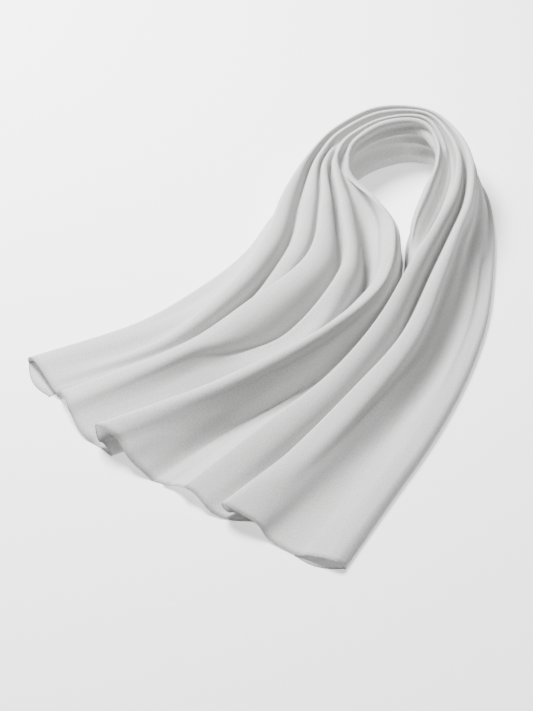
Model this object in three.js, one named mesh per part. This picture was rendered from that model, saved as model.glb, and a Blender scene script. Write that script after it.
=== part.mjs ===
// Headscarf laid down flat on a surface: a plain rectangular shawl, doubled at mid-length so that it turns in
// a loop at the neck, with both tails spread side by side. Millimetres, +Z up. X runs across the tails, the
// loop lies towards +Y and the hems towards -Y, and the cloth rests on z = 0.
//
// The cloth is one wall. Sections stand on the ground line given in `sections`, each reaching from the outer
// selvedge inwards, and each fold keeps its column from one hem, round the loop, to the other hem.
import * as THREE from 'three';

const wall = 1.6;              // thickness of the cloth wall
const hemWall = 2;             // thickness of the turned hem at each tail end
const hemWidth = 4;            // how far a hem reaches up its tail
const seamGap = 0.3;           // clearance between neighbouring stretches
const middle = { x: -2, y: 7 };   // middle of the table's ground points, which becomes the origin
const loopFrom = 4.5;          // section where the left tail ends and the neck loop begins
const loopTo = 12.5;           // section where the neck loop ends and the right tail begins

// A row for each section, left hem to right hem: the ground point at the outer edge, the heading in degrees
// of the line that runs inwards from it, how much rounder crests are than troughs, and where the trough
// before a fold lies between its two crests: 0 at the outer one, 1 at the inner one, past either where it
// curls under.
const sections = [
  // x, y, heading, plump, trough, outerTrough, frontTrough
  { x: -325, y: -312, heading: -20, plump: -0.1, trough: 0.78, outerTrough: 0.78, frontTrough: 1.9 },
  { x: -213, y: -178, heading: -15, plump: 0.1, trough: 0.8, outerTrough: 0.8, frontTrough: 0.9 },
  { x: -156, y: -46, heading: -12, plump: 0.2, trough: 0.78, outerTrough: 0.75, frontTrough: 0.8 },
  { x: -132, y: 62, heading: -7, plump: 0.2, trough: 0.72, outerTrough: 0.62, frontTrough: 0.5 },
  { x: -134, y: 165, heading: 2, plump: 0.2, trough: 0.7, outerTrough: 0.58, frontTrough: 0.42 },
  { x: -131, y: 260, heading: 4, plump: 0.2, trough: 0.55, outerTrough: 0.52, frontTrough: 0.5 },
  { x: -114, y: 346, heading: -20, plump: 0.2, trough: 0.5, outerTrough: 0.5, frontTrough: 0.5 },
  { x: -65, y: 430, heading: -52, plump: 0.2, trough: 0.5, outerTrough: 0.5, frontTrough: 0.5 },
  { x: 19, y: 465, heading: -86, plump: 0.2, trough: 0.5, outerTrough: 0.5, frontTrough: 0.5 },
  { x: 103, y: 447, heading: -123, plump: 0.2, trough: 0.45, outerTrough: 0.5, frontTrough: 0.5 },
  { x: 171, y: 396, heading: -150, plump: 0.2, trough: 0.35, outerTrough: 0.45, frontTrough: 0.5 },
  { x: 222, y: 313, heading: -165, plump: 0.2, trough: 0.3, outerTrough: 0.5, frontTrough: 0.5 },
  { x: 264, y: 210, heading: -176, plump: 0.2, trough: 0.28, outerTrough: 0.48, frontTrough: 0.5 },
  { x: 300, y: 95, heading: -181, plump: 0.2, trough: 0.25, outerTrough: 0.38, frontTrough: 0.5 },
  { x: 320, y: -35, heading: -184, plump: 0.2, trough: 0.25, outerTrough: 0.28, frontTrough: 0.5 },
  { x: 324, y: -170, heading: -186, plump: 0.2, trough: 0.25, outerTrough: 0.22, frontTrough: 0.5 },
  { x: 317, y: -305, heading: -186, plump: 0.05, trough: 0.25, outerTrough: 0.15, frontTrough: 0.5 },
  { x: 310, y: -450, heading: -184, plump: -0.25, trough: 0.25, outerTrough: -0.55, frontTrough: 0.5 },
];

// Where each fold's crest crosses each section, measured inwards from the ground point. `tuck` is the end of
// the outer selvedge, turned under the roll, and `end` is the inner selvedge.
const columns = ['tuck', 'roll', 'soft', 'outer', 'second', 'rise', 'third', 'front', 'rim', 'end'];
const across = [
  [86, 15, 40, 72, 92, 107, 187, 216, 280, 344],
  [60, 12, 44, 71, 91, 113, 157, 221, 254, 283],
  [40, 12, 40, 66, 98, 117, 196, 246, 262, 279],
  [25, 8, 26, 48, 96, 129, 196, 260, 270, 276],
  [20, 6, 16, 28, 66, 96, 131, 218, 236, 247],
  [15, 6, 14, 20, 37, 50, 66, 77, 90, 104],
  [12, 5, 10, 15, 27, 37, 47, 55, 63, 68],
  [10, 4, 8, 13, 26, 35, 43, 50, 56, 64],
  [9, 3, 6, 10, 19, 25, 31, 37, 43, 47],
  [10, 4, 13, 22, 38, 44, 49, 56, 63, 47],
  [14, 5, 22, 36, 58, 66, 74, 83, 93, 84],
  [22, 8, 34, 47, 78, 93, 101, 110, 125, 138],
  [32, 10, 49, 72, 111, 125, 132, 140, 150, 160],
  [42, 12, 54, 100, 145, 150, 152, 154, 155.5, 157.5],
  [52, 14, 59, 113, 164, 168, 171, 174, 177, 182],
  [62, 16, 69, 139, 188, 197, 202, 207, 212, 222],
  [70, 18, 80, 160, 227, 238, 246, 254, 261, 271],
  [80, 22, 96, 204, 275, 285, 292, 298, 304, 316],
];

// Height of each crest above the ground, in the same columns.
const height = [
  [0, 16, 15, 12, 9, 23, 5, 48, 17, 0],
  [0, 20, 22, 26, 18, 45, 20, 57, 25, 0],
  [0, 20, 34, 53, 34, 62, 36, 67, 34, 0],
  [0, 16, 40, 71, 66, 71, 70, 74, 54, 0],
  [0, 14, 48, 84, 84, 83, 88, 77, 66, 0],
  [0, 12, 50, 92, 91, 86, 92, 76, 84, 0],
  [0, 12, 50, 96, 95, 80, 95, 80, 95, 0],
  [0, 12, 50, 100, 99, 84, 98, 84, 98, 0],
  [0, 12, 50, 100, 100, 84, 99, 84, 98, 4],
  [0, 12, 54, 97, 98, 75, 86, 80, 94, 18],
  [0, 12, 60, 93, 96, 60, 64, 78, 89, 12],
  [0, 13, 46, 88, 93, 52, 57, 70, 82, 0],
  [0, 13, 36, 82, 88, 42, 47, 55, 62, 0],
  [0, 13, 24, 75, 80, 58, 42, 27, 12, 3.4],
  [0, 13, 18, 63, 64, 42, 28, 16, 8, 3.4],
  [0, 14, 13, 53, 49, 32, 21, 12, 6, 3.4],
  [0, 14, 9, 44, 36, 24, 16, 9, 5, 3.4],
  [0, 15, 1.5, 34, 22, 17, 12, 8, 5, 4.2],
];

// How deep the trough after each crest sinks: 0 stays on the line from crest to crest, 1 reaches the ground.
const sink = [
  // roll, soft, outer, second, rise, third, front, rim
  [0, 0, 0, 0.9, 0, 1, 0, 1],
  [0, 0.1, 0.2, 0.8, 0, 0.95, 0, 1],
  [0.2, 0, 0.6, 0.4, 0.75, 0.7, 0, 1],
  [0, 0, 0.5, 0.3, 0.65, 0.9, 0, 0],
  [0, 0, 0.3, 0.2, 0.45, 0.8, 0, 0],
  [0, 0, 0.25, 0.1, 0.25, 0, 0, 0],
  [0, 0, 0.16, 0, 0, 0, 0, 0],
  [0, 0, 0.15, 0, 0, 0, 0, 0],
  [0, 0, 0.15, 0, 0, 0, 0, 0],
  [0, 0, 0.16, 0, 0, 0, 0, 0],
  [0, 0, 0.2, 0.12, 0, 0, 0, 0],
  [0, 0.1, 0.27, 0.15, 0, 0, 0, 0],
  [0, 0, 0.38, 0.2, 0, 0, 0, 0],
  [0, 0, 0.55, 0, 0, 0, 0, 0],
  [0, 0, 0.72, 0, 0, 0, 0, 0],
  [0, 0, 0.88, 0, 0, 0, 0, 0],
  [0, 0, 0.95, 0, 0, 0, 0, 0],
  [0, 0, 1, 0, 0, 0, 0, 0],
];

// How far each crest, and the trough after it, stands out beyond the line of the section at either hem, where
// the edge swings out between the folds. The foot of the roll is the trough after the tuck.
const scallop = [
  { fold: 'tuck', left: 22, leftTrough: 3, right: 10, rightTrough: -8 },
  { fold: 'roll', left: 1, leftTrough: 2, right: -3, rightTrough: 3 },
  { fold: 'soft', left: 4, leftTrough: 7, right: 9, rightTrough: 3 },
  { fold: 'outer', left: 10, leftTrough: 12, right: 6, rightTrough: -10 },
  { fold: 'second', left: 13, leftTrough: 13, right: 3, rightTrough: 2 },
  { fold: 'rise', left: 14, leftTrough: 25, right: 1, rightTrough: 0 },
  { fold: 'third', left: 33, leftTrough: 25, right: 0, rightTrough: 0 },
  { fold: 'front', left: 24, leftTrough: 14, right: 0, rightTrough: 1 },
  { fold: 'rim', left: 17, leftTrough: 9, right: 2, rightTrough: 3 },
  { fold: 'end', left: 0, leftTrough: 0, right: 3, rightTrough: 3 },
];
// How much more the right edge swings out between two turning points, and where: half-way at a skew of 1, and
// nearer the first of them below it
const tuckSwell = { size: 9, skew: 1 };       // from the tuck to the foot of the roll
const lapSwell = { size: 19, skew: 0.5 };     // from the trough after `outer` to `second`
const scallopReach = 1.7;      // sections over which the swing of the hem fades into the tail
const curlStart = 0.5;         // a trough this share of a spacing past its crest is a full curl

const curlShare = 0.12;        // extra roundness, as a share of the spacing of the folds
const curlLimit = 9;           // and its limit
const tightRadius = 3.5;       // no fold turns tighter than this
const prominence = 8;          // a fold this much above or below its neighbours is level at its turn
const clearTrough = 0.2;       // a trough shallower than this drifts to half-way between its crests
const selvedgeTrough = 0.7;    // share of the way from the rim to the inner selvedge where the cloth lands
const overhang = 1.25;         // how far, in its spacing, a fold may hold its level at the turn
const curlBulge = 8;           // how far a curled side swells, beside its crest and its heel
const tipBulge = 14;           // and at the tip of the cloth turned under it
const returnRise = 0.55;       // how far that cloth rises again on its way there, as a share of its crest
const rollFoot = 8;            // the outer roll starts to lift this far in from its edge

// Where each span of the section line is sampled: tuck, roll, then trough and crest in turn.
const coarse = [0, 0.5];
const fine = [0, 0.16, 0.5, 0.84];
const medium = [0, 0.3, 0.65];
const halfSide = [0, 0.35, 0.7];
const spanSteps = [
  coarse, [0, 0.25, 0.5, 0.75], [0], [0], [0], [0, 0.5, 0.84],
  halfSide, fine, fine, fine, fine, fine, fine, halfSide, medium, medium, coarse, coarse,
];
const outerSide = 6;           // spans whose cloth curls back under the crest near a hem
const frontSide = 13;

const lastSection = sections.length - 1;
const clamp = (value, low, high) => Math.min(high, Math.max(low, value));
const mix = (a, b, share) => a + (b - a) * share;

// Smooth value of one column of a table at section `s`, which may lie between two rows, with no overshoot.
function along(rows, read, s) {
  const i = clamp(Math.floor(s), 0, lastSection - 1);
  const value = (k) => read(rows[k]);
  const slope = (k) => {
    if (k === 0) return value(1) - value(0);
    if (k === lastSection) return value(k) - value(k - 1);
    const before = value(k) - value(k - 1);
    const after = value(k + 1) - value(k);
    return before * after > 0 ? (2 * before * after) / (before + after) : 0;
  };
  return hermite(value(i), value(i + 1), slope(i), slope(i + 1), s - i);
}

// Smooth value through the rows of the ground line, which has to turn evenly and so may overshoot.
function alongGround(name, s) {
  const i = clamp(Math.floor(s), 0, lastSection - 1);
  const value = (k) => sections[clamp(k, 0, lastSection)][name];
  const slope = (k) => (value(k + 1) - value(k - 1)) / (k === 0 || k === lastSection ? 1 : 2);
  return hermite(value(i), value(i + 1), slope(i), slope(i + 1), s - i);
}

function hermite(from, to, slopeFrom, slopeTo, t) {
  const t2 = t * t;
  const t3 = t2 * t;
  return from * (2 * t3 - 3 * t2 + 1) + slopeFrom * (t3 - 2 * t2 + t)
    + to * (3 * t2 - 2 * t3) + slopeTo * (t3 - t2);
}

// Crests and troughs of the section at `s`, from the tucked selvedge round the roll to the inner selvedge.
function foldPoints(s) {
  const crests = columns.map((_, k) => ({
    a: along(across, (row) => row[k], s),
    z: along(height, (row) => row[k], s),
  }));
  const [tuck, ...folds] = crests;
  const foot = { a: Math.min(rollFoot, tuck.a * 0.7), z: tuck.z };
  const chain = [tuck, foot, folds[0]];
  for (let k = 0; k < folds.length - 1; k += 1) {
    const column = columns[k + 1];
    const name = column === 'outer' ? 'outerTrough' : column === 'third' ? 'frontTrough' : 'trough';
    const depth = along(sink, (row) => row[k], s);
    const steep = k === folds.length - 2 ? selvedgeTrough : along(sections, (row) => row[name], s);
    const share = mix(0.5, steep, clamp(depth / clearTrough, 0, 1));
    chain.push({
      a: mix(folds[k].a, folds[k + 1].a, share),
      z: mix(folds[k].z, folds[k + 1].z, clamp(share, 0, 1)) * (1 - depth),
      curled: clamp(Math.max(share - 1, -share) / curlStart, 0, 1),
    }, folds[k + 1]);
  }
  return chain;
}

// The direction of the cloth at each point of the chain, and how far it stays in it on either side.
function bendPoints(chain) {
  const last = chain.length - 1;
  return chain.map((point, i) => {
    const before = chain[Math.max(i - 1, 0)];
    const after = chain[Math.min(i + 1, last)];
    if (i < 2) return { da: -1, dz: 0, crest: 0, level: 1, curl: 0 };
    const rise = point.z - before.z;
    const fall = point.z - after.z;
    const turns = rise * fall > 0;
    const turned = clamp(Math.min(Math.abs(rise), Math.abs(fall)) / prominence, 0, 1);
    const level = i === 2 ? 1 : turns ? turned : 0;
    const chordA = after.a - before.a;
    const chordZ = after.z - before.z;
    const chord = Math.hypot(chordA, chordZ) || 1;
    const da = mix(chordA / chord, 1, level);
    const dz = mix(chordZ / chord, 0, level);
    const size = Math.hypot(da, dz);
    const curl = Math.min(curlLimit, curlShare * Math.abs(chordA));
    return { da: da / size, dz: dz / size, crest: rise + fall > 0 ? 1 : -1, level, curl };
  });
}

function reach(point, bend, other, plump) {
  const spacing = Math.abs(other.a - point.a);
  const drop = Math.abs(other.z - point.z);
  const straight = Math.hypot(spacing, drop) / 3;
  const gentle = (0.5 + plump * bend.crest) * spacing + bend.curl;
  const tight = Math.min(Math.sqrt((2 / 3) * drop * tightRadius), spacing * overhang + 1);
  return mix(straight, Math.max(gentle, tight), bend.level);
}

// The side of a curled fold, from its crest down to the tip of the cloth that turns back under it.
function curledSide(crest, tip) {
  const way = Math.sign(tip.a - crest.a);
  const heel = { a: mix(crest.a, tip.a, 0.1), z: 0.18 * crest.z };
  const far = Math.abs(tip.a - heel.a);
  return [
    crest, { a: crest.a - way * curlBulge, z: crest.z }, { a: heel.a - way * curlBulge, z: heel.z + 2 }, heel,
    { a: heel.a + way * 0.4 * far, z: returnRise * crest.z }, { a: tip.a + way * tipBulge, z: tip.z }, tip,
  ];
}

// Both halves of a cubic curve in one list of seven control points.
function halved([a, b, c, d]) {
  const middleOf = (p, q) => ({ a: (p.a + q.a) / 2, z: (p.z + q.z) / 2 });
  const ab = middleOf(a, b);
  const bc = middleOf(b, c);
  const cd = middleOf(c, d);
  const abc = middleOf(ab, bc);
  const bcd = middleOf(bc, cd);
  return [a, ab, abc, middleOf(abc, bcd), bcd, cd, d];
}

// The section as a smooth line, sampled `steps[i]` times on each span of its chain.
function sectionLine(s) {
  const chain = foldPoints(s);
  const bends = bendPoints(chain);
  const plump = along(sections, (row) => row.plump, s);
  const line = [];
  for (let i = 0; i < chain.length - 1; i += 1) {
    const from = chain[i];
    const to = chain[i + 1];
    const turn = 0.66 * (to.z - from.z);
    const leave = i === 0 ? 1 : i === 1 ? turn : reach(from, bends[i], to, plump);
    const arrive = i === 0 ? 1 : i === 1 ? turn : reach(to, bends[i + 1], from, plump);
    const control = [
      from,
      { a: from.a + bends[i].da * leave, z: from.z + bends[i].dz * leave },
      { a: to.a - bends[i + 1].da * arrive, z: to.z - bends[i + 1].dz * arrive },
      to,
    ];
    const place = (piece, t, share) => line.push({ ...bezier(piece, t), mark: i + share });
    if (i !== outerSide && i !== frontSide) {
      for (const t of spanSteps[i]) place(control, t, t);
      continue;
    }
    const [crest, tip] = i === outerSide ? [from, to] : [to, from];
    const side = curledSide(crest, tip);
    if (i === frontSide) side.reverse();
    const curled = i === outerSide ? to.curled : from.curled;
    const points = halved(control).map((point, k) => ({
      a: mix(point.a, side[k].a, curled),
      z: mix(point.z, side[k].z, curled),
    }));
    for (const t of spanSteps[i]) place(points.slice(0, 4), t, t / 2);
    for (const t of spanSteps[i]) place(points.slice(3), t, (1 + t) / 2);
  }
  line.push({ ...chain[chain.length - 1], mark: chain.length - 1 });
  return line;
}

function bezier(control, t) {
  const u = 1 - t;
  const weights = [u * u * u, 3 * u * u * t, 3 * u * t * t, t * t * t];
  const sum = (name) => weights.reduce((total, weight, k) => total + weight * control[k][name], 0);
  return { a: sum('a'), z: sum('z') };
}

// How far the cloth at turning point `mark` of the section at `s` is carried out by the swing of its hem,
// counted towards the right hem.
function swing(s, mark) {
  const left = s < lastSection / 2;
  const fade = clamp(1 - (left ? s : lastSection - s) / scallopReach, 0, 1);
  const side = left ? 'left' : 'right';
  const chain = scallop.flatMap((row) => [row[side], row[`${side}Trough`]]);
  const value = (k) => chain[clamp(k, 0, chain.length - 2)];
  const i = clamp(Math.floor(mark), 0, chain.length - 3);
  const slope = (k) => (value(k + 1) - value(k - 1)) / 2;
  const out = hermite(value(i), value(i + 1), slope(i), slope(i + 1), mark - i);
  const swells = left ? {} : { 0: tuckSwell, [outerSide + 1]: lapSwell };
  const { size, skew } = swells[i] ?? { size: 0, skew: 1 };
  const swell = size * Math.sin(Math.PI * (mark - i) ** skew) ** 2;
  return (left ? -1 : 1) * fade * fade * (out + swell);
}

// The line of a section placed on the ground, `ahead` millimetres on towards the right hem.
function placedSection(s, ahead = 0) {
  const heading = THREE.MathUtils.degToRad(alongGround('heading', s));
  const inward = new THREE.Vector2(Math.cos(heading), Math.sin(heading));
  const onward = new THREE.Vector2(-inward.y, inward.x);
  return sectionLine(s).map(({ a, z, mark }) => {
    const shift = ahead + swing(s, mark);
    return new THREE.Vector3(
      alongGround('x', s) - middle.x + inward.x * a + onward.x * shift,
      alongGround('y', s) - middle.y + inward.y * a + onward.y * shift,
      z,
    );
  });
}

// Direction from one point of a line to the next, ending in the one before at either end.
function heading(line, k) {
  const to = clamp(k, 1, line.length - 1);
  return line[to].clone().sub(line[to - 1]).normalize();
}

// One stretch of cloth as a closed wall `thick` millimetres thick, through `rows` of { s, ahead }.
function clothWall(rows, thick) {
  const step = 0.01;
  const grid = rows.map(({ s, ahead = 0 }) => {
    const line = placedSection(s, ahead);
    const behind = placedSection(s - step, ahead);
    const beyond = placedSection(s + step, ahead);
    return line.map((point, k) => {
      const inward = heading(line, k).add(heading(line, k + 1));
      const onward = beyond[k].clone().sub(behind[k]);
      const half = inward.cross(onward).normalize().multiplyScalar(thick / 2);
      const outside = point.clone().add(half);
      const inside = point.clone().sub(half);
      const lift = Math.max(0, -Math.min(outside.z, inside.z));
      outside.z += lift;
      inside.z += lift;
      return { outside, inside };
    });
  });

  const rowCount = grid.length;
  const columnCount = grid[0].length;
  const positions = [];
  for (const side of ['outside', 'inside']) {
    for (const row of grid) for (const pair of row) positions.push(...pair[side].toArray());
  }
  const outer = (r, k) => r * columnCount + k;
  const inner = (r, k) => rowCount * columnCount + outer(r, k);
  const indices = [];
  const quad = (a, b, c, d) => indices.push(a, b, c, a, c, d);
  for (let r = 0; r < rowCount - 1; r += 1) {
    for (let k = 0; k < columnCount - 1; k += 1) {
      quad(outer(r, k), outer(r, k + 1), outer(r + 1, k + 1), outer(r + 1, k));
      quad(inner(r, k), inner(r + 1, k), inner(r + 1, k + 1), inner(r, k + 1));
    }
    const k = columnCount - 1;
    quad(outer(r, 0), outer(r + 1, 0), inner(r + 1, 0), inner(r, 0));
    quad(outer(r, k), inner(r, k), inner(r + 1, k), outer(r + 1, k));
  }
  const r = rowCount - 1;
  for (let k = 0; k < columnCount - 1; k += 1) {
    quad(outer(0, k), inner(0, k), inner(0, k + 1), outer(0, k + 1));
    quad(outer(r, k), outer(r, k + 1), inner(r, k + 1), inner(r, k));
  }
  const geometry = new THREE.BufferGeometry();
  geometry.setAttribute('position', new THREE.Float32BufferAttribute(positions, 3));
  geometry.setIndex(indices);
  return geometry;
}

// Rows evenly spread from one section to another, `spacing` sections apart or a little less.
function evenRows(from, to, spacing) {
  const count = Math.ceil((to - from) / spacing);
  return Array.from({ length: count + 1 }, (_, i) => ({ s: mix(from, to, i / count) }));
}

const halfGap = seamGap / 2;
const tailRows = 0.28;         // row spacing in the tails, in sections
const loopRows = 0.3;          // and round the loop
const neckRows = 0.18;         // and where the left tail gathers into it,
const neckFrom = 3.6;          // from this section
const neckTo = 5.4;            // to this one

function leftTail() {
  const rows = [...evenRows(0, neckFrom, tailRows), ...evenRows(neckFrom, loopFrom, neckRows).slice(1)];
  rows[0].ahead = hemWidth + seamGap;
  rows[rows.length - 1].ahead = -halfGap;
  return clothWall(rows, wall);
}

function neckLoop() {
  const rows = [...evenRows(loopFrom, neckTo, neckRows), ...evenRows(neckTo, loopTo, loopRows).slice(1)];
  rows[0].ahead = halfGap;
  rows[rows.length - 1].ahead = -halfGap;
  return clothWall(rows, wall);
}

function rightTail() {
  const rows = evenRows(loopTo, lastSection, tailRows);
  rows[0].ahead = halfGap;
  rows[rows.length - 1].ahead = -hemWidth - seamGap;
  return clothWall(rows, wall);
}

const leftHem = () => clothWall([0, 0.5, 1].map((share) => ({ s: 0, ahead: hemWidth * share })), hemWall);
const rightHem = () => clothWall(
  [1, 0.5, 0].map((share) => ({ s: lastSection, ahead: -hemWidth * share })), hemWall,
);

const cloth = new THREE.MeshStandardMaterial({ color: 0xc9cac8, roughness: 0.82, metalness: 0 });
const hemThread = new THREE.MeshStandardMaterial({ color: 0xb9bab8, roughness: 0.8, metalness: 0 });

const headscarf = new THREE.Group();
function addPiece(name, geometry, material) {
  const mesh = new THREE.Mesh(geometry, material);
  mesh.name = name;
  headscarf.add(mesh);
}

addPiece('left_tail', leftTail(), cloth);
addPiece('neck_loop', neckLoop(), cloth);
addPiece('right_tail', rightTail(), cloth);
addPiece('left_hem', leftHem(), hemThread);
addPiece('right_hem', rightHem(), hemThread);

export default headscarf;
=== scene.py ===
# Looks of a plain headscarf laid flat, doubled at mid-length into a loop at the neck.
# Tables and shapes are in millimetres, and turn into metres when a mesh is made.
import math

import bmesh
import bpy
import numpy as np
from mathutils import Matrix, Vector, noise


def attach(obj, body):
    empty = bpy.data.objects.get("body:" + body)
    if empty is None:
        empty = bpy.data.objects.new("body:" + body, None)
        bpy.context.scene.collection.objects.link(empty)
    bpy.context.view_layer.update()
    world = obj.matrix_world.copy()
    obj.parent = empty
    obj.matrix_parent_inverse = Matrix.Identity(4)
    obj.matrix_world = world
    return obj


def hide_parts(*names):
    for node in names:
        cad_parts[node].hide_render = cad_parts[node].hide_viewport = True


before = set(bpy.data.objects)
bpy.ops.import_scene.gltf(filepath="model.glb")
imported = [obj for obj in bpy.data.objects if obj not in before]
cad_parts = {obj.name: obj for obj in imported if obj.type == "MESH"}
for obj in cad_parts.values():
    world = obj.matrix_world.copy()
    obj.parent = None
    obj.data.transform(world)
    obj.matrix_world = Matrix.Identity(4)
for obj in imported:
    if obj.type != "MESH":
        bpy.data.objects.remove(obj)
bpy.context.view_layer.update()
mm = 0.001
middle = (-2, 7)               # the spot of the tables that goes to the origin

# Camera

view = {
    "target": (10, -130, 0),   # what it looks at, on the floor
    "distance": 2700,
    "elevation": 47,           # degrees above the floor
    "azimuth": 28,             # degrees round from looking along +Y
    "lens": 85,
    "farthest": 50,            # metres
}


def makeCamera():
    camera = bpy.data.objects.new("camera", bpy.data.cameras.new("camera"))
    bpy.context.collection.objects.link(camera)
    camera.data.lens = view["lens"]
    camera.data.clip_end = view["farthest"]
    elevation = math.radians(view["elevation"])
    azimuth = math.radians(view["azimuth"])
    ahead = Vector((-math.sin(azimuth) * math.cos(elevation),
                    math.cos(azimuth) * math.cos(elevation),
                    -math.sin(elevation)))
    target = Vector(view["target"])
    camera.location = (target - ahead * view["distance"]) * mm
    camera.rotation_euler = ahead.to_track_quat("-Z", "Y").to_euler()
    bpy.context.scene.camera = camera


makeCamera()
print("camera set")

# Shape of the cloth. A row for each section, left hem to right hem: the ground point at the outer
# edge, the heading of the line that runs inwards from it, how much rounder crests are than
# troughs, and where between its two crests a trough lies.

sections = [
    # x, y, heading, plump, trough, outerTrough, frontTrough
    (-325, -312, -20, -0.1, 0.78, 0.78, 1.9),
    (-213, -178, -15, 0.1, 0.8, 0.8, 0.9),
    (-156, -46, -12, 0.2, 0.78, 0.75, 0.8),
    (-132, 62, -7, 0.2, 0.72, 0.62, 0.5),
    (-134, 165, 2, 0.2, 0.7, 0.58, 0.42),
    (-131, 260, 4, 0.2, 0.55, 0.52, 0.5),
    (-114, 346, -20, 0.2, 0.5, 0.5, 0.5),
    (-65, 430, -52, 0.2, 0.5, 0.5, 0.5),
    (19, 465, -86, 0.2, 0.5, 0.5, 0.5),
    (103, 447, -123, 0.2, 0.45, 0.5, 0.5),
    (171, 396, -150, 0.2, 0.35, 0.45, 0.5),
    (222, 313, -165, 0.2, 0.3, 0.5, 0.5),
    (264, 210, -176, 0.2, 0.28, 0.48, 0.5),
    (300, 95, -181, 0.2, 0.25, 0.38, 0.5),
    (320, -35, -184, 0.2, 0.25, 0.28, 0.5),
    (324, -170, -186, 0.2, 0.25, 0.22, 0.5),
    (317, -305, -186, 0.05, 0.25, 0.15, 0.5),
    (310, -450, -184, -0.25, 0.25, -0.55, 0.5),
]
groundNames = ("x", "y", "heading", "plump", "trough", "outerTrough", "frontTrough")

# For the same sections, how far inwards each fold's crest lies, how high it stands, and how deep
# the trough after it sinks, as a share of the way to the floor
columns = ("tuck", "roll", "soft", "outer", "second", "rise", "third", "front", "rim", "end")
across = [
    (86, 15, 40, 72, 92, 107, 187, 216, 280, 344),
    (60, 12, 44, 71, 91, 113, 157, 221, 254, 283),
    (40, 12, 40, 66, 98, 117, 196, 246, 262, 279),
    (25, 8, 26, 48, 96, 129, 196, 260, 270, 276),
    (20, 6, 16, 28, 66, 96, 131, 218, 236, 247),
    (15, 6, 14, 20, 37, 50, 66, 77, 90, 104),
    (12, 5, 10, 15, 27, 37, 47, 55, 63, 68),
    (10, 4, 8, 13, 26, 35, 43, 50, 56, 64),
    (9, 3, 6, 10, 19, 25, 31, 37, 43, 47),
    (10, 4, 13, 22, 38, 44, 49, 56, 63, 47),
    (14, 5, 22, 36, 58, 66, 74, 83, 93, 84),
    (22, 8, 34, 47, 78, 93, 101, 110, 125, 138),
    (32, 10, 49, 72, 111, 125, 132, 140, 150, 160),
    (42, 12, 54, 100, 145, 150, 152, 154, 155.5, 157.5),
    (52, 14, 59, 113, 164, 168, 171, 174, 177, 182),
    (62, 16, 69, 139, 188, 197, 202, 207, 212, 222),
    (70, 18, 80, 160, 227, 238, 246, 254, 261, 271),
    (80, 22, 96, 204, 275, 285, 292, 298, 304, 316),
]
height = [
    (0, 16, 15, 12, 9, 23, 5, 48, 17, 0),
    (0, 20, 22, 26, 18, 45, 20, 57, 25, 0),
    (0, 20, 34, 53, 34, 62, 36, 67, 34, 0),
    (0, 16, 40, 71, 66, 71, 70, 74, 54, 0),
    (0, 14, 48, 84, 84, 83, 88, 77, 66, 0),
    (0, 12, 50, 92, 91, 86, 92, 76, 84, 0),
    (0, 12, 50, 96, 95, 80, 95, 80, 95, 0),
    (0, 12, 50, 100, 99, 84, 98, 84, 98, 0),
    (0, 12, 50, 100, 100, 84, 99, 84, 98, 4),
    (0, 12, 54, 97, 98, 75, 86, 80, 94, 18),
    (0, 12, 60, 93, 96, 60, 64, 78, 89, 12),
    (0, 13, 46, 88, 93, 52, 57, 70, 82, 0),
    (0, 13, 36, 82, 88, 42, 47, 55, 62, 0),
    (0, 13, 24, 75, 80, 58, 42, 27, 12, 3.4),
    (0, 13, 18, 63, 64, 42, 28, 16, 8, 3.4),
    (0, 14, 13, 53, 49, 32, 21, 12, 6, 3.4),
    (0, 14, 9, 44, 36, 24, 16, 9, 5, 3.4),
    (0, 15, 1.5, 34, 22, 17, 12, 8, 5, 4.2),
]
sink = [
    # roll, soft, outer, second, rise, third, front, rim
    (0, 0, 0, 0.9, 0, 1, 0, 1),
    (0, 0.1, 0.2, 0.8, 0, 0.95, 0, 1),
    (0.2, 0, 0.6, 0.4, 0.75, 0.7, 0, 1),
    (0, 0, 0.5, 0.3, 0.65, 0.9, 0, 0),
    (0, 0, 0.3, 0.2, 0.45, 0.8, 0, 0),
    (0, 0, 0.25, 0.1, 0.25, 0, 0, 0),
    (0, 0, 0.16, 0, 0, 0, 0, 0),
    (0, 0, 0.15, 0, 0, 0, 0, 0),
    (0, 0, 0.15, 0, 0, 0, 0, 0),
    (0, 0, 0.16, 0, 0, 0, 0, 0),
    (0, 0, 0.2, 0.12, 0, 0, 0, 0),
    (0, 0.1, 0.27, 0.15, 0, 0, 0, 0),
    (0, 0, 0.38, 0.2, 0, 0, 0, 0),
    (0, 0, 0.55, 0, 0, 0, 0, 0),
    (0, 0, 0.72, 0, 0, 0, 0, 0),
    (0, 0, 0.88, 0, 0, 0, 0, 0),
    (0, 0, 0.95, 0, 0, 0, 0, 0),
    (0, 0, 1, 0, 0, 0, 0, 0),
]

# How far each crest, and the trough after it, swings out beyond the section's line at either hem
scallop = [
    # left crest, left trough, right crest, right trough
    (22, 3, 10, -8),           # tuck
    (1, 2, -3, 3),             # roll
    (4, 7, 9, 3),              # soft
    (10, 12, 6, -10),          # outer
    (13, 13, 3, 2),            # second
    (14, 25, 1, 0),            # rise
    (33, 25, 0, 0),            # third
    (24, 14, 0, 1),            # front
    (17, 9, 2, 3),             # rim
    (0, 0, 3, 3),              # end
]

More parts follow.
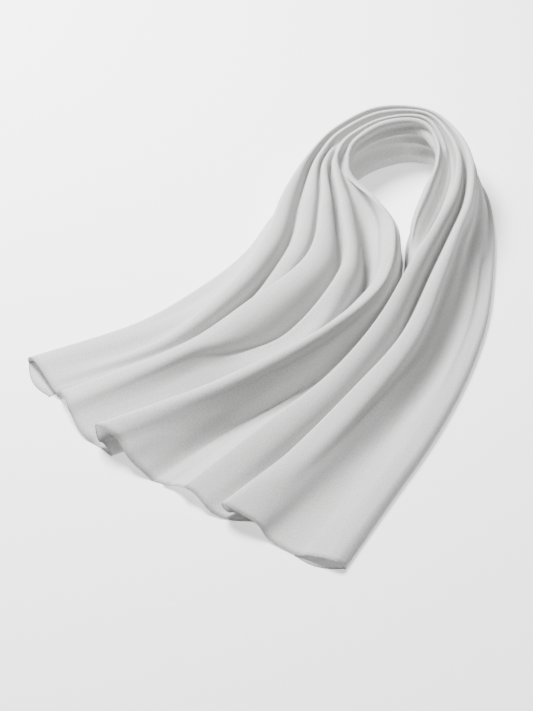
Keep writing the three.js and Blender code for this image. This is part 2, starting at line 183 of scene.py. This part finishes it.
fold = {
    "curlShare": 0.12,         # extra roundness, as a share of the spacing
    "curlLimit": 9,
    "tightRadius": 3.5,        # no fold turns tighter
    "overhang": 1.25,          # how far, in its spacing, a fold may run level past its turn
    "prominence": 8,           # a fold this much above its neighbours is level at its turn
    "clearTrough": 0.2,        # a shallower trough drifts half-way between its crests
    "selvedgeTrough": 0.7,     # where the last trough lies, before the inner selvedge
    "rollFoot": 8,             # the outer roll lifts this far in from its edge,
    "rollFootShare": 0.7,      # or at this share of the tuck's depth where that is nearer
    "rollTurn": 0.66,          # how round the roll is, as a share of its height
    "curlStart": 0.5,          # a trough this share of a spacing past its crest is a full curl
    "curlBulge": 8,            # how far a curled side swells
    "heelIn": 0.1,             # where it turns back, as a share of the way to the tip,
    "heelRise": 0.18,          # how high, as a share of its crest,
    "heelLift": 2,             # and how much higher it leaves
    "returnRun": 0.4,          # the cloth turned back under it makes for a point this far on
    "returnRise": 0.55,        # and this high, as shares again
    "tipBulge": 14,            # and swells this far past its tip
    "scallopReach": 1.7,       # sections over which the swing of the hem fades
    # extra swing of either hem within a span: its size, and its skew towards the span's start
    "leftSwells": {0: (11, 1)},
    "rightSwells": {0: (9, 1), 7: (19, 0.5)},
}
outerSide, frontSide = 6, 13   # spans whose cloth may curl back under the crest near a hem

cloth = {
    "thickness": 0.7,
    "rows": 276,               # from hem to hem
    "plumper": 0.16,           # crests rounder still, away from the hems
    "smoothing": 3,            # passes from row to row, which round off the sections
    "creaseFade": 0.7,         # below 1, a crease holds its strength nearer to its ends
    "ripple": 0.5,             # height of a soft unevenness all over,
    "cells": (40, 150),        # and how long its waves are, across and along the cloth
    "overFloor": 0.5,          # least height, in thicknesses,
    "overTuck": 1.8,           # and above the tucked edge,
    "tucked": (2.5, 6),        # which lies under these turning points
    # points on each span, tuck to end
    "steps": (14, 9, 5, 6, 7, 8, 14, 10, 10, 9, 9, 10, 11, 14, 10, 9, 10, 9),
}

lastSection = len(sections) - 1


def hermite(start, end, slopeStart, slopeEnd, t):
    return (start * (2 * t**3 - 3 * t**2 + 1) + slopeStart * (t**3 - 2 * t**2 + t)
            + end * (3 * t**2 - 2 * t**3) + slopeEnd * (t**3 - t**2))


def along(table, column, s):
    i = min(max(int(s), 0), lastSection - 1)

    def slope(k):
        if k == 0:
            return table[1][column] - table[0][column]
        if k == lastSection:
            return table[k][column] - table[k - 1][column]
        before = table[k][column] - table[k - 1][column]
        after = table[k + 1][column] - table[k][column]
        return 2 * before * after / (before + after) if before * after > 0 else 0

    return hermite(table[i][column], table[i + 1][column], slope(i), slope(i + 1), s - i)


def alongGround(name, s):      # may overshoot between rows, so that the ground line turns evenly
    column = groundNames.index(name)
    i = min(max(int(s), 0), lastSection - 1)

    def value(k):
        return sections[min(max(k, 0), lastSection)][column]

    def slope(k):
        return (value(k + 1) - value(k - 1)) / (1 if k in (0, lastSection) else 2)

    return hermite(value(i), value(i + 1), slope(i), slope(i + 1), s - i)


def mix(a, b, share):
    return a + (b - a) * share


def clamp(value, low, high):
    return min(high, max(low, value))


# Turning points of a section: its crests and troughs, from the tucked selvedge to the inner one
def foldPoints(s):
    crests = [(along(across, k, s), along(height, k, s)) for k in range(len(columns))]
    tuck, folds = crests[0], crests[1:]
    foot = min(fold["rollFoot"], tuck[0] * fold["rollFootShare"])
    chain = [tuck, (foot, tuck[1]), folds[0]]
    curls = []
    for k in range(len(folds) - 1):
        name = {"outer": "outerTrough", "third": "frontTrough"}.get(columns[k + 1], "trough")
        place = along(sections, groundNames.index(name), s)
        if k == len(folds) - 2:
            place = fold["selvedgeTrough"]
        depth = along(sink, k, s)
        share = mix(0.5, place, clamp(depth / fold["clearTrough"], 0, 1))
        level = mix(folds[k][1], folds[k + 1][1], clamp(share, 0, 1))
        chain += [(mix(folds[k][0], folds[k + 1][0], share), level * (1 - depth)), folds[k + 1]]
        curls.append(clamp(max(share - 1, -share) / fold["curlStart"], 0, 1))
    return chain, {outerSide: curls[2], frontSide: curls[5]}


# For each turning point, the way the cloth runs there, 1 at a crest and -1 in a trough, how level
# the cloth is, and its extra roundness
def bendPoints(chain):
    last = len(chain) - 1
    bends = []
    for i, point in enumerate(chain):
        before, after = chain[max(i - 1, 0)], chain[min(i + 1, last)]
        if i < 2:              # the tucked cloth runs outwards
            bends.append((-1, 0, 0, 1, 0))
            continue
        rise, fall = point[1] - before[1], point[1] - after[1]
        level = clamp(min(abs(rise), abs(fall)) / fold["prominence"], 0, 1)
        if i == 2:             # the top of the outer roll
            level = 1
        elif rise * fall <= 0:
            level = 0
        chordA, chordZ = after[0] - before[0], after[1] - before[1]
        chord = math.hypot(chordA, chordZ) or 1
        da, dz = mix(chordA / chord, 1, level), mix(chordZ / chord, 0, level)
        size = math.hypot(da, dz)
        curl = min(fold["curlLimit"], fold["curlShare"] * abs(chordA))
        bends.append((da / size, dz / size, 1 if rise + fall > 0 else -1, level, curl))
    return bends


def reach(point, bend, other, plump):       # how far a span's curve keeps to the way it leaves
    side, level, curl = bend[2:]
    spacing, drop = abs(other[0] - point[0]), abs(other[1] - point[1])
    straight = math.hypot(spacing, drop) / 3
    gentle = (0.5 + plump * side) * spacing + curl
    tight = min(math.sqrt(drop * fold["tightRadius"] * 2 / 3), spacing * fold["overhang"] + 1)
    return mix(straight, max(gentle, tight), level)


# Side of a curled fold, down to the tip of the cloth turned back under it
def curledSide(crest, tip):
    way = math.copysign(1, tip[0] - crest[0])
    heel = (mix(crest[0], tip[0], fold["heelIn"]), fold["heelRise"] * crest[1])
    far = abs(tip[0] - heel[0])
    bulge = way * fold["curlBulge"]
    return np.array([
        crest,
        (crest[0] - bulge, crest[1]),
        (heel[0] - bulge, heel[1] + fold["heelLift"]),
        heel,
        (heel[0] + way * fold["returnRun"] * far, fold["returnRise"] * crest[1]),
        (tip[0] + way * fold["tipBulge"], tip[1]),
        tip,
    ])


def halved(points):            # both halves of a cubic curve, in one list of seven
    a, b, c, d = points
    ab, bc, cd = (a + b) / 2, (b + c) / 2, (c + d) / 2
    abc, bcd = (ab + bc) / 2, (bc + cd) / 2
    return np.array([a, ab, abc, (abc + bcd) / 2, bcd, cd, d])


def bezier(control, t):
    u = 1 - t
    return (u**3 * control[0] + 3 * u * u * t * control[1]
            + 3 * u * t * t * control[2] + t**3 * control[3])


# Points of a section: across, height, and the turning point that each follows, with its share of
# the span after it
def sectionLine(s):
    chain, curls = foldPoints(s)
    bends = bendPoints(chain)
    plump = along(sections, groundNames.index("plump"), s)
    plump += cloth["plumper"] * clamp(min(s, lastSection - s), 0, 1)
    line = []
    for i in range(len(chain) - 1):
        start, end = chain[i], chain[i + 1]
        if i == 0:             # flat along the tuck
            leave = arrive = 1
        elif i == 1:           # round the outer roll
            leave = arrive = fold["rollTurn"] * (end[1] - start[1])
        else:
            leave = reach(start, bends[i], end, plump)
            arrive = reach(end, bends[i + 1], start, plump)
        control = np.array([
            start,
            (start[0] + bends[i][0] * leave, start[1] + bends[i][1] * leave),
            (end[0] - bends[i + 1][0] * arrive, end[1] - bends[i + 1][1] * arrive),
            end,
        ])
        count = cloth["steps"][i]
        halves = halved(control)
        if i in curls:
            side = curledSide(start, end) if i == outerSide else curledSide(end, start)[::-1]
            halves = mix(halves, side, curls[i])
        for step in range(count):
            t = 2 * step / count
            place = bezier(halves[:4], t) if t < 1 else bezier(halves[3:], t - 1)
            line.append((*place, i + t / 2))
    line.append((*chain[-1], len(chain) - 1))
    return np.array(line)


# How far the swing of the nearer hem carries the cloth, counted towards the right hem
def swing(s, marks):
    left = s < lastSection / 2
    fade = clamp(1 - (s if left else lastSection - s) / fold["scallopReach"], 0, 1)
    column = 0 if left else 2
    chain = np.array([value for row in scallop for value in row[column:column + 2]][:-1])
    slopes = np.gradient(np.concatenate([chain[:1], chain, chain[-1:]]))[1:-1]
    i = np.clip(np.floor(marks).astype(int), 0, len(chain) - 2)
    out = hermite(chain[i], chain[i + 1], slopes[i], slopes[i + 1], marks - i)
    for span, (size, skew) in fold["leftSwells" if left else "rightSwells"].items():
        out += size * np.where(i == span, np.sin(np.pi * np.clip(marks - i, 0, 1) ** skew) ** 2, 0)
    return (-1 if left else 1) * fade * fade * out


def placedSection(s):
    heading = math.radians(alongGround("heading", s))
    inward = np.array((math.cos(heading), math.sin(heading)))
    onward = np.array((-inward[1], inward[0]))
    line = sectionLine(s)
    ground = np.array((alongGround("x", s) - middle[0], alongGround("y", s) - middle[1]))
    spot = ground + line[:, :1] * inward + swing(s, line[:, 2])[:, None] * onward
    return np.column_stack([spot, line[:, 1]])


# Soft creases laid on the folds: the sections that each runs between, its place across the cloth
# at either end (in turning points, from 0 at the tuck to 18 at the inner selvedge), its width, and
# how far it stands out or, below 0, sinks in

creases = [
    # start, end, at, till, width, stand
    (0.1, 2.8, 4.4, 4.8, 15, -2.6),
    (0.0, 1.6, 2.9, 3.2, 16, 1.8),
    (0.0, 3.2, 12.8, 12.8, 13, -6.0),
    (1.1, 3.0, 12.1, 12.0, 21, -8.0),
    (1.6, 4.4, 12.7, 12.8, 11, -4.0),
    (0.0, 3.0, 14.75, 14.7, 16, 6.0),
    (0.0, 3.4, 15.6, 15.5, 24, 6.0),
    (0.0, 3.2, 10.6, 10.7, 16, 5.0),
    (0.0, 1.4, 16.5, 16.2, 16, 2.6),
    (1.2, 3.4, 15.3, 15.1, 11, 1.6),
    (2.8, 5.4, 13.6, 13.65, 14, -12.0),
    (2.8, 5.2, 12.9, 12.95, 15, 13.0),
    (2.2, 4.8, 11.1, 11.1, 8, -6.0),
    (3.0, 5.4, 14.5, 14.4, 6, 2.0),
    (3.1, 5.2, 5.2, 4.8, 8, 1.4),
    (3.8, 7.4, 4.9, 5.1, 8, -3.0),
    (5.0, 10.6, 16.44, 16.40, 4, -3.0),
    (5.2, 10.4, 16.64, 16.6, 6, 9.0),
    (5.2, 10.4, 16.88, 16.84, 6, -6.0),
    (4.2, 7.8, 17.1, 17.2, 17, -9.0),
    (5.4, 8.6, 16.2, 16.2, 9, 3.0),
    (7.0, 10.6, 17.02, 16.98, 7, 8.0),
    (7.8, 11.0, 17.3, 17.25, 10, -13.0),
    (6.0, 10.0, 17.65, 17.6, 10, 4.0),
    (4.2, 9.6, 3.2, 3.4, 8, -3.0),
    (5.6, 12.2, 3.7, 4.1, 9, -4.0),
    (6.4, 11.0, 4.5, 4.7, 8, 2.6),
    (7.6, 12.6, 5.2, 5.1, 7, -2.4),
    (9.6, 12.4, 4.9, 4.6, 10, 1.8),
    (10.8, 14.6, 5.2, 5.0, 13, -3.0),
    (10.2, 13.6, 5.9, 5.3, 13, -5.0),
    (11.4, 16.6, 3.9, 3.5, 27, -6.0),
    (12.2, 16.9, 2.7, 2.4, 16, 2.0),
    (14.0, 17.0, 5.5, 5.3, 18, 2.6),
    (12.6, 17.0, 5.2, 5.0, 18, 3.0),
    (14.2, 17.0, 7.6, 7.5, 15, 4.0),
    (12.6, 15.4, 7.2, 7.0, 8, -1.4),
    (13.8, 17.0, 10.2, 9.8, 12, -1.8),
]


def stretch(places, axis):     # running length over the grid, within rows (1) or row to row (0)
    steps = np.linalg.norm(np.diff(places, axis=axis), axis=2)
    pad = ((0, 0), (1, 0)) if axis else ((1, 0), (0, 0))
    return np.pad(np.cumsum(steps, axis=axis), pad)


def normalsOf(places):
    inward = np.gradient(places, axis=1)
    onward = np.gradient(places, axis=0)
    normals = np.cross(inward, onward)
    return normals / np.maximum(np.linalg.norm(normals, axis=2, keepdims=True), 1e-9)


def creaseStrength(start, end, share):      # full at a hem, and gone at an end within the cloth
    if start == 0:
        return np.cos(np.pi / 2 * share)
    if end == lastSection:
        return np.sin(np.pi / 2 * share)
    return np.sin(np.pi * share) ** cloth["creaseFade"]


def clothPlaces():
    marks = np.linspace(0, lastSection, cloth["rows"] + 1)
    places = np.array([placedSection(s) for s in marks])
    for _ in range(cloth["smoothing"]):
        places[1:-1] = places[1:-1] * 0.5 + (places[:-2] + places[2:]) * 0.25
    spans = cloth["steps"]
    turning = np.concatenate([i + np.arange(n) / n for i, n in enumerate(spans)] + [[len(spans)]])
    run = stretch(places, 1)
    normals = normalsOf(places)
    push = np.zeros(run.shape)
    for start, end, at, till, width, stand in creases:
        share = np.clip((marks - start) / (end - start), 0, 1)
        centre = np.array([
            np.interp(mix(at, till, part), turning, rowRun)
            for part, rowRun in zip(share, run)
        ])
        strength = creaseStrength(start, end, share)
        push += stand * strength[:, None] * np.exp(-((run - centre[:, None]) / width) ** 2)
    wide, long = cloth["cells"]
    length = stretch(places, 0)
    push += cloth["ripple"] * np.array([
        [noise.noise((x / wide, y / long, 0)) for x, y in zip(rowRun, rowLength)]
        for rowRun, rowLength in zip(run, length)
    ])
    places = places + normals * push[:, :, None]
    first, last = cloth["tucked"]
    over = (turning > first) & (turning < last)
    least = cloth["thickness"] * np.where(over, cloth["overTuck"], cloth["overFloor"])
    places[:, :, 2] = np.maximum(places[:, :, 2], least)
    return places


def gridMesh(places, uvs):
    rows, count = places.shape[:2]
    bm = bmesh.new()
    bmesh.ops.create_grid(bm, x_segments=count - 1, y_segments=rows - 1, size=1)
    uvLayer = bm.loops.layers.uv.new("cut")
    spots = {}
    for vert in bm.verts:
        column = round((vert.co.x + 1) / 2 * (count - 1))
        row = round((vert.co.y + 1) / 2 * (rows - 1))
        spots[vert] = (row, column)
    for vert, spot in spots.items():
        vert.co = Vector(places[spot]) * mm
    for face in bm.faces:
        face.smooth = True
        for loop in face.loops:
            loop[uvLayer].uv = uvs[spots[loop.vert]] * mm
    return bm


def addObject(name, bm, material, nodes):
    bmesh.ops.recalc_face_normals(bm, faces=bm.faces)
    mesh = bpy.data.meshes.new(name)
    bm.to_mesh(mesh)
    bm.free()
    piece = bpy.data.objects.new(name, mesh)
    bpy.context.collection.objects.link(piece)
    mesh.materials.append(material)
    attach(piece, "root")
    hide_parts(*nodes)
    return piece


# Materials

weave = {
    "colour": (0.78, 0.782, 0.78, 1),
    "shade": (0.58, 0.584, 0.572, 1),       # in the hollows of the grain
    "contrast": (0.36, 0.64),  # of the grain, where shade ends and colour begins
    "threads": 1500,           # threads in a metre
    "waver": 0.6,              # how unevenly they run
    "grain": (320, 600),       # cells in a metre, along and across the cloth
    "grainDetail": 3.0,
    "streaks": (9, 160),       # longer and fainter cells,
    "streakDetail": 2.0,
    "streakShare": 0.15,       # and their share of the unevenness
    "bump": 0.2,
    "bumpDepth": 0.0006,       # metres
    "grainRelief": 1.4,        # height of the grain, in threads
    "stitches": 0,             # stitches in a metre
    "stitchRelief": 3.0,       # and their height, in threads
    "roughness": 0.88,
    "specular": 0.25,
    "sheen": 0.2,
    "sheenRoughness": 0.5,
    "through": 0.28,           # share of the light that comes through
}


def node(tree, kind, links=(), **values):
    made = tree.nodes.new(kind)
    for name, value in values.items():
        if hasattr(made, name):
            setattr(made, name, value)
        else:
            made.inputs[name].default_value = value
    for socket, source in dict(links).items():
        tree.links.new(source, made.inputs[socket])
    return made


def waveScale(perMetre):       # scale of a wave texture with so many bands in a metre
    return perMetre * math.pi / 10


def clothMaterial(name, look):
    material = bpy.data.materials.new(name)
    material.use_nodes = True
    tree = material.node_tree
    tree.nodes.clear()
    uv = node(tree, "ShaderNodeUVMap", uv_map="cut").outputs[0]

    def cells(size, detail):
        spread = node(tree, "ShaderNodeMapping", {"Vector": uv}, Scale=(size[1], size[0], 1))
        spots = node(tree, "ShaderNodeTexNoise", {"Vector": spread.outputs[0]},
                     Scale=1.0, Detail=detail)
        return spots.outputs["Fac"]

    def bands(way, count, distortion):
        wave = node(tree, "ShaderNodeTexWave", {"Vector": uv}, wave_type="BANDS",
                    bands_direction=way, Scale=waveScale(count), Distortion=distortion)
        return wave.outputs["Fac"]

    def raised(height, share, under):       # one relief on top of another
        total = node(tree, "ShaderNodeMath", {0: height, 2: under}, operation="MULTIPLY_ADD")
        total.inputs[1].default_value = share
        return total.outputs[0]

    grain = cells(look["grain"], look["grainDetail"])
    streaks = cells(look["streaks"], look["streakDetail"])
    warp = bands("X", look["threads"], look["waver"])
    weft = bands("Y", look["threads"], look["waver"])
    threads = node(tree, "ShaderNodeMath", {0: warp, 1: weft}, operation="MAXIMUM").outputs[0]
    uneven = node(tree, "ShaderNodeMix", {"A": grain, "B": streaks}, Factor=look["streakShare"])
    low, high = look["contrast"]
    share = node(tree, "ShaderNodeMapRange", {"Value": uneven.outputs["Result"]},
                 **{"From Min": low, "From Max": high})
    tint = node(tree, "ShaderNodeMix", {"Factor": share.outputs[0]}, data_type="RGBA")
    tint.inputs["A"].default_value = look["shade"]
    tint.inputs["B"].default_value = look["colour"]
    colour = tint.outputs["Result"]
    relief = raised(grain, look["grainRelief"], threads)
    if look["stitches"]:       # the thread that holds a rolled edge pinches it at each stitch
        relief = raised(bands("X", look["stitches"], 0.0), look["stitchRelief"], relief)
    bump = node(tree, "ShaderNodeBump", {"Height": relief},
                Strength=look["bump"], Distance=look["bumpDepth"]).outputs[0]
    surface = node(tree, "ShaderNodeBsdfPrincipled", {"Base Color": colour, "Normal": bump},
                   Roughness=look["roughness"],
                   **{"Specular IOR Level": look["specular"], "Sheen Weight": look["sheen"],
                      "Sheen Roughness": look["sheenRoughness"]})
    glow = node(tree, "ShaderNodeBsdfTranslucent", {"Color": colour, "Normal": bump})
    blend = node(tree, "ShaderNodeMixShader", {1: surface.outputs[0], 2: glow.outputs[0]})
    blend.inputs[0].default_value = look["through"]
    node(tree, "ShaderNodeOutputMaterial", {"Surface": blend.outputs[0]})
    return material


clothLook = clothMaterial("crepe", weave)
print("materials made")

# The cloth, one shawl from hem to hem

places = clothPlaces()
uvs = np.dstack([stretch(places, 1), stretch(places, 0)])
stretches = ("left_tail", "neck_loop", "right_tail")
scarf = addObject("scarf", gridMesh(places, uvs), clothLook, stretches)
wall = scarf.modifiers.new("wall", "SOLIDIFY")
wall.thickness = cloth["thickness"] * mm
wall.offset = 0
print("scarf laid,", len(scarf.data.polygons), "faces")

# The rolled edge at each tail end

edge = {
    "across": 0.8,             # half its width, along the cloth
    "up": 0.55,                # half its thickness
    "inset": 0.6,              # how far in over the cloth it sits, in half widths
    "around": 10,              # faces round it
}
# The rolled edge is darker than the cloth, partly for its denser layers and partly as painted
# shade along the edge
edgeLookDenseAndPaintedShade = clothMaterial("rolled edge", {
    **weave,
    "colour": (0.56, 0.565, 0.56, 1),
    "shade": (0.42, 0.425, 0.42, 1),
    "bump": 0.6,
    "stitches": 330,
})


def rolledEdge(name, line, beyond, normals, nodeName):
    outward = beyond / np.linalg.norm(beyond, axis=1, keepdims=True)
    turns = np.linspace(0, 2 * np.pi, edge["around"] + 1)
    tube = np.array([
        line + outward * edge["across"] * (math.cos(turn) - edge["inset"])
        + normals * edge["up"] * math.sin(turn)
        for turn in turns
    ])
    tube[:, :, 2] += np.maximum(0, -tube[:, :, 2].min(axis=0))      # up out of the floor
    run = stretch(tube, 1)
    around = np.repeat(turns[:, None] * edge["up"], tube.shape[1], axis=1)
    bm = gridMesh(tube, np.dstack([run, around]))
    bmesh.ops.remove_doubles(bm, verts=bm.verts, dist=1e-6)
    bmesh.ops.holes_fill(bm, edges=[e for e in bm.edges if e.is_boundary], sides=0)
    return addObject(name, bm, edgeLookDenseAndPaintedShade, (nodeName,))


normals = normalsOf(places)
leftEdge = rolledEdge("leftEdge", places[0], places[0] - places[1], normals[0], "left_hem")
rightEdge = rolledEdge("rightEdge", places[-1], places[-1] - places[-2], normals[-1], "right_hem")
print("edges rolled")

# Floor and light

stageSet = {
    "floor": (0.92, 0.92, 0.92, 1),
    "floorSize": 6,            # metres, from the middle to a side
    "floorRoughness": 0.9,
    "floorGlow": 0.85,         # the floor is a lit table
    "sky": 0.23,
}

# Large soft lamps, aimed at the middle of the scarf
lamps = {
    # watts, size and place in metres
    "key": (240, 0.9, (-1.25, 0.5, 1.95)),
    "side": (10, 1.6, (-2.0, 0.9, 0.8)),
}


def makeStage():
    bm = bmesh.new()
    bmesh.ops.create_grid(bm, x_segments=1, y_segments=1, size=stageSet["floorSize"])
    mesh = bpy.data.meshes.new("floor")
    bm.to_mesh(mesh)
    bm.free()
    floor = bpy.data.objects.new("floor", mesh)
    bpy.context.collection.objects.link(floor)
    paint = bpy.data.materials.new("floor")
    paint.use_nodes = True
    shader = paint.node_tree.nodes["Principled BSDF"]
    shader.inputs["Base Color"].default_value = stageSet["floor"]
    shader.inputs["Roughness"].default_value = stageSet["floorRoughness"]
    shader.inputs["Emission Color"].default_value = (1, 1, 1, 1)
    shader.inputs["Emission Strength"].default_value = stageSet["floorGlow"]
    mesh.materials.append(paint)
    for name, (watts, size, place) in lamps.items():
        lamp = bpy.data.objects.new(name, bpy.data.lights.new(name, "AREA"))
        bpy.context.collection.objects.link(lamp)
        lamp.data.energy = watts
        lamp.data.size = size
        lamp.location = place
        lamp.rotation_euler = (-lamp.location).to_track_quat("-Z", "Y").to_euler()
    world = bpy.data.worlds.new("studio")
    world.use_nodes = True
    background = world.node_tree.nodes["Background"]
    background.inputs["Color"].default_value = (1, 1, 1, 1)
    background.inputs["Strength"].default_value = stageSet["sky"]
    bpy.context.scene.world = world


makeStage()
print("stage lit")
